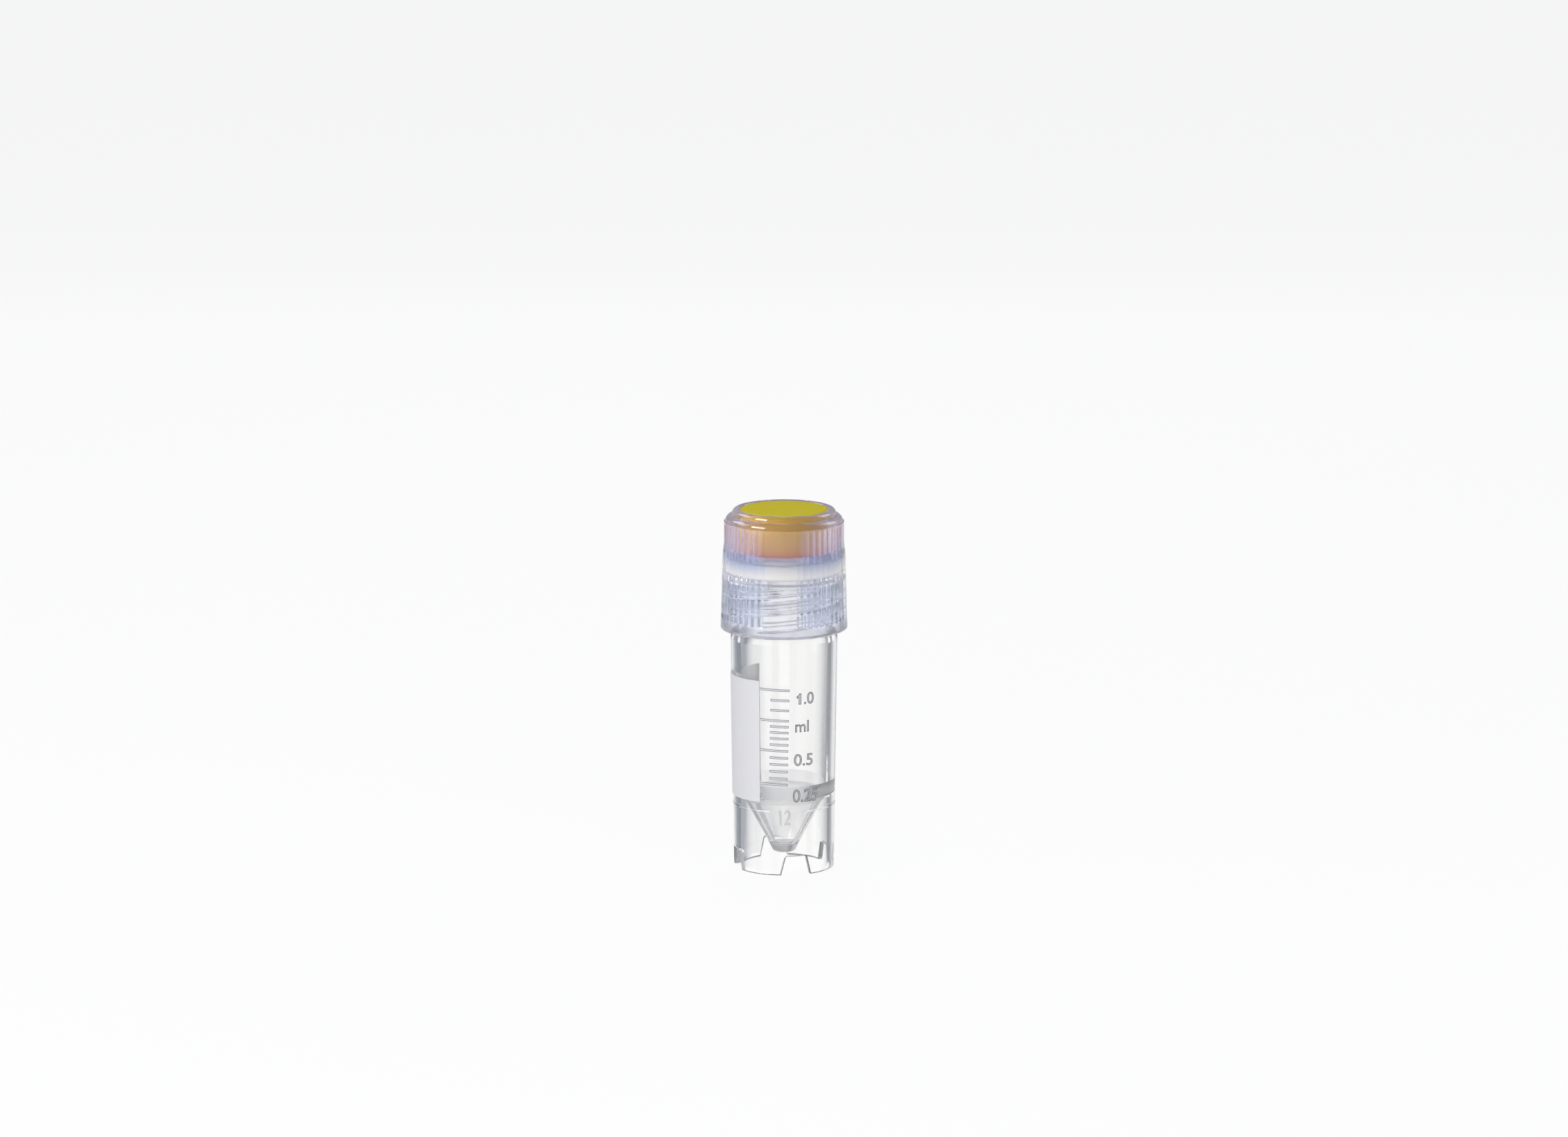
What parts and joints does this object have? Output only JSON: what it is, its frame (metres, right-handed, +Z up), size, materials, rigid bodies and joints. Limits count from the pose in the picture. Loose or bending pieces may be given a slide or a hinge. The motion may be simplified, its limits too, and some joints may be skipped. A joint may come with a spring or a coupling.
{
  "type": "cryovial",
  "caption": "Self-standing clear plastic vial with a conical inside, notched skirt, printed scale and writing patch, closed by a fluted screw cap with a coloured insert.",
  "frame": {"origin": "middle of the foot, on the surface that the vial stands on", "axes": "+Z up along the vial's axis, towards the cap; the printed scale faces -Y and the writing patch -X"},
  "size_m": [0.0144, 0.0144, 0.0413],
  "materials": {
    "clear_plastic": "clear, glossy",
    "white_ink": "matt printed ink",
    "tinted_plastic": "clear lavender tint, glossy",
    "yellow_plastic": "satin, opaque",
    "silicone": "milky, smooth"
  },
  "bodies": {
    "vial": {"vial_tube": "clear_plastic", "writing_patch": "white_ink"},
    "seal": {"seal_gasket": "silicone"},
    "cap": {"screw_cap": "tinted_plastic", "cap_insert": "yellow_plastic"}
  },
  "joints": [
    {"name": "cap_lift", "type": "slide", "parent": "vial", "child": "seal", "axis": [0, 0, 1], "range_m": [0, 0.012]},
    {"name": "cap_turn", "type": "hinge", "parent": "seal", "child": "cap", "pos_m": [0, 0, 0.0276], "axis": [0, 0, 1], "range_deg": [0, 1080]}
  ],
  "couplings": [
    {"joint": "cap_turn", "follows": "cap_lift", "rad_per_m": 1570.8}
  ]
}
